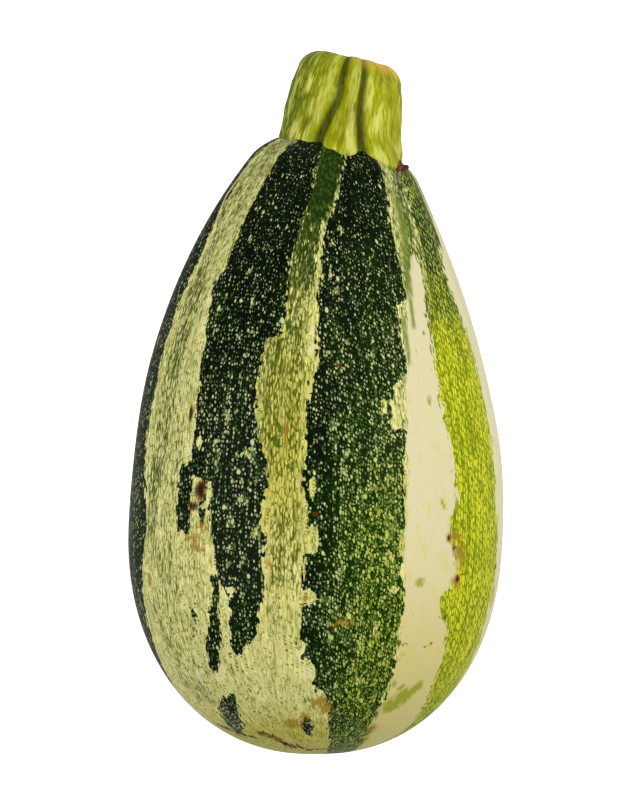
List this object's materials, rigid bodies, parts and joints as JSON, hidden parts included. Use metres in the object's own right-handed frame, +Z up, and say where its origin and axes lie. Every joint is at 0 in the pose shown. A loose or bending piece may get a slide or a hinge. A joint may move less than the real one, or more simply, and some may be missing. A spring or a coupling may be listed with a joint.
{
  "type": "zucchini",
  "caption": "Egg-shaped striped zucchini lying on its side, with a short furrowed stub of stalk and a small flattened spot underneath where it rests.",
  "frame": {"origin": "middle of the small flattened spot under the fruit that touches the table, straight below the centre of mass", "axes": "+Y from the blossom end towards the stem, +Z up, +X to the right when the stem points away from the viewer"},
  "size_m": [0.101, 0.1894, 0.1031],
  "materials": {
    "skin": "satin, waxy, striped skin",
    "stem_rind": "semi-matte green rind",
    "dried_scrap": "matte"
  },
  "bodies": {
    "root": {"fruit": "skin", "stem": "stem_rind", "dried_scrap": "dried_scrap"}
  },
  "joints": []
}
